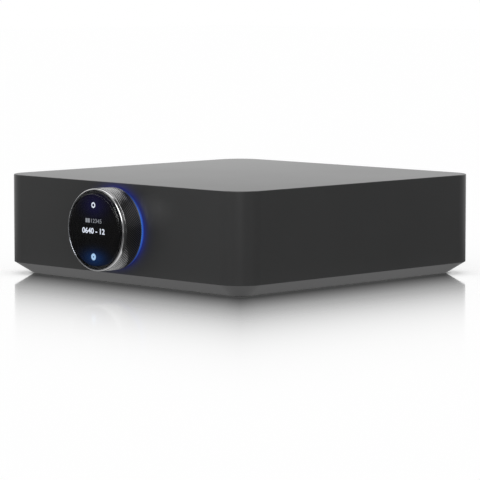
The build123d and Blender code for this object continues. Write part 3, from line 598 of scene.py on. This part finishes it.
def repeated(name, unit, points, turns, material, weld=1e-6):
    """One mesh made of the unit at every point, turned by its own angles."""
    mesh = bpy.data.meshes.new(name + " points")
    mesh.from_pydata([tuple(p) for p in points], [], [])
    store = mesh.attributes.new("turn", "FLOAT_VECTOR", "POINT")
    store.data.foreach_set("vector", [part for turn in turns for part in turn])
    carrier = add_to_scene(bpy.data.objects.new(name, mesh))
    modifier = carrier.modifiers.new("repeat", "NODES")
    modifier.node_group = repeat
    modifier[unit_socket] = unit
    modifier[finish_socket] = material
    modifier[weld_socket] = weld
    bpy.context.view_layer.update()
    scene_state = bpy.context.evaluated_depsgraph_get()
    baked = bpy.data.meshes.new_from_object(carrier.evaluated_get(scene_state))
    carrier.modifiers.remove(modifier)
    carrier.data = baked
    bpy.data.meshes.remove(mesh)
    bpy.data.objects.remove(unit)
    return carrier


def knurl_diamond(stretch):
    """One raised diamond, lying on the knurl's floor above the axis."""
    half_turn = math.pi / KNURL_AROUND
    drop = KNURL_FLOOR * math.cos(half_turn) - KNURL_FLOOR
    half_wide = KNURL_FLOOR * math.sin(half_turn)
    corners = [(-half_wide, 0, drop), (0, -KNURL_PITCH / 2, 0), (half_wide, 0, drop),
               (0, KNURL_PITCH / 2, 0), (0, 0, KNURL_DEEP)]
    faces = [(0, 1, 4), (1, 2, 4), (2, 3, 4), (3, 0, 4)]
    diamond = mesh_object("knurl diamond", corners, faces, smooth=False)
    diamond.data.transform(Matrix.Diagonal((1, stretch, 1, 1)))
    return diamond


def dial_knurl():
    """Diamonds in staggered rows, stretched a little so that whole rows fill the knurl."""
    length = KNURL_END - KNURL_START
    rows = int(length / (KNURL_PITCH / 2)) + 1
    diamond = knurl_diamond(length / (rows - 1) / (KNURL_PITCH / 2))
    points, turns = [], []
    for row in range(rows):
        reach = KNURL_START + length * row / (rows - 1)
        for step in range(KNURL_AROUND):
            angle = (2 * step + row % 2) * math.pi / KNURL_AROUND
            across, height = KNURL_FLOOR * math.sin(angle), KNURL_FLOOR * math.cos(angle)
            points.append(front_point(across, height, reach))
            turns.append((0, angle, 0))
    knurl = repeated("dial_knurl", diamond, points, turns, materials["dial_metal"], weld=2e-6)
    tidy_normals(knurl, 20.0)
    fit(knurl, "dial", "dial_metal")


def dial_core():
    """The dial's own sleeve, drawn in a little so that the knurl and the bands stand on it."""
    core = add_to_scene(bpy.data.objects.new("volume_sleeve", nodes["volume_ring"].data.copy()))
    tidy_normals(core, 30.0)
    most = KNURL_FLOOR - 0.04 * MM
    for vert in core.data.vertices:
        flat = Vector((vert.co.x, 0, vert.co.z - DIAL_Z))
        if flat.length > most:
            flat *= most / flat.length
            vert.co.x = flat.x
            vert.co.z = flat.z + DIAL_Z
    fit(core, "dial", "dial_metal", "volume_ring")


def dial_bands():
    """Smooth bands behind and before the knurl, with small bevels."""
    inner, bevel, lap = KNURL_FLOOR - 0.3 * MM, 0.15 * MM, 0.2 * MM
    front_bevel = 0.08 * MM
    back_band = [
        (inner, DIAL_BACK), (DIAL_R - bevel, DIAL_BACK), (DIAL_R, DIAL_BACK + bevel),
        (DIAL_R, KNURL_START - bevel), (KNURL_FLOOR, KNURL_START + lap), (inner, KNURL_START + lap),
    ]
    front_band = [
        (inner, KNURL_END - lap), (KNURL_FLOOR, KNURL_END - lap), (DIAL_R, KNURL_END + bevel),
        (DIAL_R, DIAL_FRONT - front_bevel), (DIAL_R - front_bevel, DIAL_FRONT), (inner, DIAL_FRONT),
    ]
    fit(lathe("dial_band_back", back_band, front_point), "dial", "dial_metal")
    fit(lathe("dial_band_front", front_band, front_point), "dial", "dial_metal")


def bright_rim():
    """Narrow ring on the dial's front: a flat face, a wide polished bevel outside and a small
    one inside."""
    profile = [
        (RIM_INNER, DIAL_FRONT), (RIM_INNER, RIM_FRONT - 0.25 * MM),
        (RIM_INNER + 0.12 * MM, RIM_FRONT - 0.04 * MM), (RIM_INNER + 0.22 * MM, RIM_FRONT),
        (RIM_OUTER - 0.5 * MM, RIM_FRONT), (RIM_OUTER - 0.4 * MM, RIM_FRONT - 0.04 * MM),
        (RIM_OUTER - 0.13 * MM, RIM_FRONT - 0.33 * MM),
        (RIM_OUTER - 0.03 * MM, RIM_FRONT - 0.5 * MM),
        (RIM_OUTER, RIM_FRONT - 0.75 * MM), (RIM_OUTER, DIAL_FRONT),
    ]
    rim = lathe("dial_rim", profile, front_point, 256, sharp=50.0)
    fit(rim, "dial", "rim_metal", "knob_rim")


def show(obj, material):
    """Lights a figure and puts it on the display."""
    obj.data.materials.clear()
    obj.data.materials.append(material)
    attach(obj, "case")


def round_figure(name, height, radius, hole):
    """A thin ring on the display, in the middle of its width."""
    back, front = FIGURE_REACH, FIGURE_REACH + FIGURE_THICK
    profile = [(hole, back), (radius, back), (radius, front), (hole, front)]
    return lathe(name, profile, lambda x, up, reach: front_point(x, height + up, reach), 48)


def square_figure(name, x, height, wide, tall):
    """A thin block on the display."""
    a, b = wide / 2, tall / 2
    corners = [(-a, -b), (a, -b), (a, b), (-a, b)]
    verts = [front_point(x + across, height + up, FIGURE_REACH + thick)
             for thick in (0, FIGURE_THICK) for across, up in corners]
    faces = [(0, 1, 2, 3), (7, 6, 5, 4), (0, 4, 5, 1), (1, 5, 6, 2), (2, 6, 7, 3), (3, 7, 4, 0)]
    obj = mesh_object(name, verts, faces, smooth=False)
    tidy_normals(obj)
    return obj


def written_figures(name, text, x, height, wide, tall, bold=0.0):
    """Plain figures as a thin mesh, fitted to a width and a height."""
    curve = bpy.data.curves.new(name, "FONT")
    curve.body = text
    curve.size = 1.0
    curve.offset = bold
    curve.extrude = 0.001
    curve.resolution_u = 4
    holder = add_to_scene(bpy.data.objects.new(name + " curve", curve))
    bpy.context.view_layer.update()
    scene_state = bpy.context.evaluated_depsgraph_get()
    mesh = bpy.data.meshes.new_from_object(holder.evaluated_get(scene_state))
    bpy.data.objects.remove(holder)
    bpy.data.curves.remove(curve)
    xs = [v.co.x for v in mesh.vertices]
    ys = [v.co.y for v in mesh.vertices]
    middle_x, middle_y = (min(xs) + max(xs)) / 2, (min(ys) + max(ys)) / 2
    grow_x, grow_y = wide / (max(xs) - min(xs)), tall / (max(ys) - min(ys))
    for vert in mesh.vertices:
        across = (vert.co.x - middle_x) * grow_x + x
        up = (vert.co.y - middle_y) * grow_y + height
        reach = FIGURE_REACH + (FIGURE_THICK if vert.co.z > 0 else 0.0)
        vert.co = front_point(across, up, reach)
    obj = add_to_scene(bpy.data.objects.new(name, mesh))
    tidy_normals(obj)
    return obj


def display_figures():
    """A ring at the top, a small row, the main line, and a disc with a hole at the bottom."""
    white = figure_material("white figures", (0.85, 0.9, 1.0), 0.95)
    grey = figure_material("grey figures", (0.5, 0.52, 0.56), 0.55)
    blue = figure_material("blue figures", (0.45, 0.7, 1.0), 0.9)
    small_row = 5.8 * MM
    show(round_figure("figure_top_ring", 15.5 * MM, 1.75 * MM, 0.95 * MM), white)
    show(round_figure("figure_low_disc", -16.5 * MM, 2.1 * MM, 0.5 * MM), blue)
    small = written_figures("figure_small_row", "12345", 2.7 * MM, small_row, 9.4 * MM, 2.5 * MM)
    show(small, grey)
    for number, x in ((1, -6.3 * MM), (2, -4.2 * MM)):
        show(square_figure(f"figure_square_{number}", x, small_row, 1.8 * MM, 2.6 * MM), grey)
    main = written_figures("figure_main_line", "0640 - 12", 0.0, -0.4 * MM, 20.6 * MM, 3.6 * MM,
                           bold=0.025)
    show(main, white)


def terminal_rings():
    """A red or a black ring let into each terminal cap."""
    red = plastic_material("red plastic", (0.45, 0.01, 0.01), 0.35)
    black = plastic_material("black ring plastic", (0.01, 0.01, 0.01), 0.35)
    for number in range(1, 5):
        low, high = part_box(f"post_cap_{number}")
        centre = Vector(((low.x + high.x) / 2, high.y, (low.z + high.z) / 2))
        outer = (high.x - low.x) / 2 - RING_SUNK
        inner = (high.x - low.x) / 2 - RING_DEEP
        profile = [(inner, RING_START), (outer, RING_START), (outer, RING_END), (inner, RING_END)]

        def place(across, up, inwards, centre=centre):
            return centre + Vector((across, -inwards, up))
        ring = lathe(f"terminal_ring_{number}", profile, place, 96)
        ring.data.materials.append(red if number % 2 else black)
        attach(ring, f"terminal_cap_{number}")


def contact_wire(face, floor_z):
    """One sprung wire along its path, in from the socket's face and up from the mouth's floor."""
    path = CONTACT_PATH_MM
    verts, faces = [], []
    for index, (deep, rise) in enumerate(path):
        before, after = path[max(index - 1, 0)], path[min(index + 1, len(path) - 1)]
        along = Vector((0.0, before[0] - after[0], after[1] - before[1])).normalized()
        out = Vector((0.0, -along.z, along.y)) * CONTACT_THICK / 2
        centre = Vector((0.0, face - deep * MM, floor_z + rise * MM))
        for right, side in ((-1, -1), (1, -1), (1, 1), (-1, 1)):
            verts.append(centre + out * side + Vector((right * CONTACT_WIDE / 2, 0.0, 0.0)))
    for index in range(len(path) - 1):
        for corner in range(4):
            here, there = 4 * index + corner, 4 * index + (corner + 1) % 4
            faces.append((here, there, there + 4, here + 4))
    last = 4 * (len(path) - 1)
    faces += [(3, 2, 1, 0), (last, last + 1, last + 2, last + 3)]
    return mesh_object("contact wire", verts, faces, smooth=False)


def network_socket():
    """The socket's dark lining, and the contacts on the floor of its mouth."""
    low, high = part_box("ethernet_jack")
    middle_x, middle_z = (low.x + high.x) / 2, (low.z + high.z) / 2
    mouth_floor = middle_z - MOUTH_HIGH / 2
    wire = contact_wire(high.y, mouth_floor)
    points = [(middle_x + (index - (CONTACTS - 1) / 2) * CONTACT_PITCH, 0.0, 0.0)
              for index in range(CONTACTS)]
    unturned = [(0.0, 0.0, 0.0)] * CONTACTS
    wires = repeated("network_contacts", wire, points, unturned, materials["plated_brass"])
    tidy_normals(wires)
    fit(wires, "case", "plated_brass")

    side = MOUTH_WIDE / 2 + LINING_SPARE
    top = middle_z + MOUTH_HIGH / 2 + LATCH_HIGH + LINING_SPARE
    lining_low = (middle_x - side, low.y, mouth_floor - LINING_SPARE)
    lining_high = (middle_x + side, high.y - LINING_DEEP, top)
    lined = lined_metal_material("network socket", PLATING, 0.25, RUBBER, lining_low, lining_high)
    nodes["ethernet_jack"].material_slots[0].material = lined


def table_mirror(finish, out, apart, forward, wide, path):
    """How much the table mirrors for the camera: before the foot and between the case's tips,
    fading outwards."""
    past_start = finish.math("DIVIDE", finish.minus(out, FADE_START), FADE_LENGTH)
    fade = finish.math("POWER", finish.largest(past_start, 0.0), FADE_POWER)
    fading = finish.math("EXPONENT", finish.times(fade, -1.0))
    in_front = finish.remap(forward, -0.06, 0.0, 0.0, MIRROR_MOST)
    off_foot = finish.remap(apart, -0.002, 0.0, 0.0, 1.0)
    between_tips = finish.remap(wide, 0.21, 0.24, 1.0, 0.0)
    return finish.times(fading, in_front, off_foot, between_tips, path.outputs["Is Camera Ray"])


def table_in_metal(finish, out, forward, sideways, wide):
    """What metal and paint mirror of the table: bright by the foot, far ahead and far behind,
    dim to the sides."""
    close = finish.remap(out, HALF, HALF + 0.05, 0.6, 0.0)
    ahead = finish.remap(finish.minus(forward, finish.times(wide, 3.0)), 0.3, 0.9, 0.0, 0.9)
    backward = finish.times(forward, -1.0)
    astern = finish.remap(finish.minus(backward, finish.times(wide, 0.8)), 0.15, 0.5, 0.0, 1.0)
    sides = finish.remap(sideways, -0.7, 0.7, 0.13, 0.06)
    behind = finish.remap(forward, -0.02, -0.32, 0.06, 0.45)
    return finish.largest(close, ahead, sides, astern, behind)


def table_material():
    """Glossy white table with a painted shadow round the foot: mirrors the case before it, fades to
    plain white further out.
    """
    finish = Finish("table")
    x, y, _ = finish.place()
    across, along = finish.math("ABSOLUTE", x), finish.math("ABSOLUTE", y)
    out = finish.largest(across, along)
    # Distance from the foot of the base, round its corners
    past_x = finish.largest(finish.minus(across, FOOT_HALF - FOOT_ROUND), 0.0)
    past_y = finish.largest(finish.minus(along, FOOT_HALF - FOOT_ROUND), 0.0)
    apart = finish.minus(finish.distance(past_x, past_y), FOOT_ROUND)
    # Towards the case's nearest corner, and across from its left tip to its right
    forward, sideways = finish.minus(x, y), finish.math("ADD", x, y)
    wide = finish.math("ABSOLUTE", sideways)
    path = finish.node("ShaderNodeLightPath")

    mirror = table_mirror(finish, out, apart, forward, wide, path)
    in_metal = table_in_metal(finish, out, forward, sideways, wide)
    levels = {"Factor": path.outputs["Is Glossy Ray"], 2: TABLE_WHITE, 3: in_metal}
    level = finish.node("ShaderNodeMix", levels, data_type="FLOAT").outputs[0]

    # Painted shadow: a soft margin round the foot, deeper at the case's tips than before its front,
    # darkens the table's white; at the foot itself it is a painted contact shadow.
    past_shadow_start = finish.largest(finish.minus(apart, PAINTED_SHADOW_START), 0.0)
    painted_shadow = finish.math("EXPONENT", finish.math("DIVIDE", past_shadow_start, -PAINTED_SHADOW_LENGTH))
    deep = finish.remap(forward, 0.02, 0.06, PAINTED_SHADOW_DEEP, PAINTED_SHADOW_DEEP_FRONT)
    painted_contact_shadow = finish.remap(apart, 0.0, 0.004, 0.4, 1.0)
    shade = finish.times(finish.minus(1.0, finish.times(painted_shadow, deep)), painted_contact_shadow)
    not_glossy = finish.minus(1.0, path.outputs["Is Glossy Ray"])
    darker = finish.times(finish.minus(1.0, shade), not_glossy)
    white = finish.lit(WHITE, finish.times(level, finish.minus(1.0, darker)))

    dull = finish.node("ShaderNodeBsdfDiffuse", {"Color": WHITE})
    shadowed = finish.times(finish.remap(apart, -0.002, 0.001, 1.0, 0.25), not_glossy)
    plain = finish.mix(shadowed, white, dull.outputs["BSDF"])
    gloss = finish.remap(out, HALF, 0.4, 0.05, 0.14)
    # The mirror's colour carries the painted shadow too, so the reflection darkens round the foot.
    shine = finish.node("ShaderNodeBsdfGlossy", {"Color": shade, "Roughness": gloss})
    return finish.surface(finish.mix(mirror, plain, shine.outputs["BSDF"]))


def table():
    corners = [(-1, -1, 0), (1, -1, 0), (1, 1, 0), (-1, 1, 0)]
    verts = [Vector(corner) * TABLE_REACH for corner in corners]
    obj = mesh_object("table", verts, [(0, 1, 2, 3)], smooth=False)
    obj.data.materials.append(table_material())


def room_light():
    """White room. The dial, the glass and the paint mirror it as windows of light on dim walls."""
    world = bpy.data.worlds.new("room")
    bpy.context.scene.world = world
    world.use_nodes = True
    room = Nodes(world.node_tree)
    output = room.node("ShaderNodeOutputWorld")
    path = room.node("ShaderNodeLightPath")

    def facing(direction):
        """How far a ray goes in one direction: 1 along it, -1 against it."""
        inputs = {0: room.coords.outputs["Generated"], 1: direction}
        made = room.node("ShaderNodeVectorMath", inputs, operation="DOT_PRODUCT")
        return made.outputs["Value"]

    def lift(value, *ends):
        """A soft step: from, to, level before, level after."""
        return room.remap(value, *ends, interpolation="SMOOTHSTEP")

    up = facing((0, 0, 1))
    to_front = facing((DIAGONAL, -DIAGONAL, 0))
    to_left = facing((-DIAGONAL, -DIAGONAL, 0))
    to_right = facing((DIAGONAL, DIAGONAL, 0))
    behind = lift(facing((-DIAGONAL, DIAGONAL, 0)), 0.42, 0.68, 0.0, 1.0)
    above_back = lift(facing((-0.4, 0.7, 0.59)), 0.9, 0.97, 0.0, 1.1)
    front_wall = lift(to_front, 0.55, 0.68, 0.0, 0.7)
    low_down = lift(up, 0.2, 0.4, 1.0, 0.25)
    past_camera = lift(to_front, 0.74, 0.86, 1.0, 0.15)
    beside_camera = room.smallest(front_wall, low_down, past_camera)
    soft_box = lift(facing((0.5, -0.62, 0.605)), 0.9, 0.96, 0.0, 3.0)
    overhead = lift(up, 0.85, 0.98, 0.0, 0.8)
    dim_walls = lift(to_left, -1.0, 1.0, 0.06, 0.13)
    above_table = room.smallest(lift(up, 0.12, 0.18, 0.0, 1.0), lift(up, 0.28, 0.36, 1.0, 0.0))
    at_right, at_left = (lift(side, 0.75, 0.85, 0.0, 1.0) for side in (to_right, to_left))
    at_sides = room.largest(at_right, at_left)
    side_bands = room.smallest(above_table, at_sides)
    mirrored = room.largest(behind, beside_camera, overhead, dim_walls, soft_box, above_back,
                            side_bands)
    even = lift(to_left, -1.0, 1.0, 0.48, 1.12)

    def light(strength):
        made = room.node("ShaderNodeBackground", {"Color": WHITE, "Strength": strength})
        return made.outputs["Background"]

    def choose(ray, without, with_ray):
        inputs = {"Fac": path.outputs[ray], 1: without, 2: with_ray}
        return room.node("ShaderNodeMixShader", inputs).outputs["Shader"]

    for_object = choose("Is Glossy Ray", light(even), light(mirrored))
    room.link(choose("Is Camera Ray", for_object, light(1.0)), output.inputs["Surface"])


def camera():
    level = DIAGONAL * math.cos(CAMERA_TILT)
    back = Vector((level, -level, math.sin(CAMERA_TILT)))
    data = bpy.data.cameras.new("camera")
    data.lens = CAMERA_LENS
    data.sensor_width = 36.0
    data.clip_start = 0.05
    data.clip_end = 60.0
    obj = add_to_scene(bpy.data.objects.new("camera", data))
    obj.location = CAMERA_TARGET + back * CAMERA_AWAY
    obj.rotation_euler = back.to_track_quat("Z", "Y").to_euler()
    bpy.context.scene.camera = obj


dial_knurl()
dial_core()
dial_bands()
bright_rim()
display_figures()
terminal_rings()
network_socket()
table()
room_light()
camera()
bpy.context.scene.view_settings.view_transform = "Standard"
